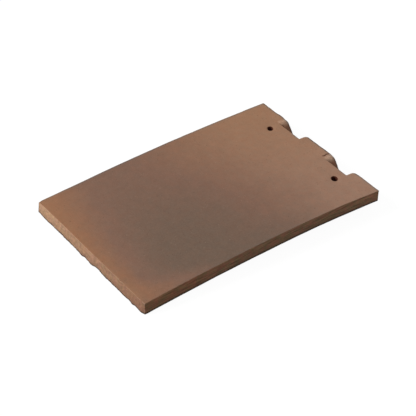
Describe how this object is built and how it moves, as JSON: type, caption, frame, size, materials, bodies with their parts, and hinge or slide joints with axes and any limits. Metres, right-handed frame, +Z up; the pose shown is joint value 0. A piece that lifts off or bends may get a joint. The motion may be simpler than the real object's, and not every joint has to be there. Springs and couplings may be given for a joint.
{
  "type": "clay roof tile",
  "caption": "Plain fired-clay roof tile, arched along its length, with nail holes and hanging nibs pressed down out of its head edge.",
  "frame": {"origin": "middle of the tile's box, on the level floor that it lies on, face up", "axes": "+Y along the tile from tail to head, +X across it, +Z up out of the face"},
  "size_m": [0.165, 0.2656, 0.0231],
  "materials": {
    "fired_clay": "matt unglazed fired clay, brown with a greyer flash, sandy terracotta at the tail"
  },
  "bodies": {
    "root": {"roof_tile": "fired_clay"}
  },
  "joints": []
}
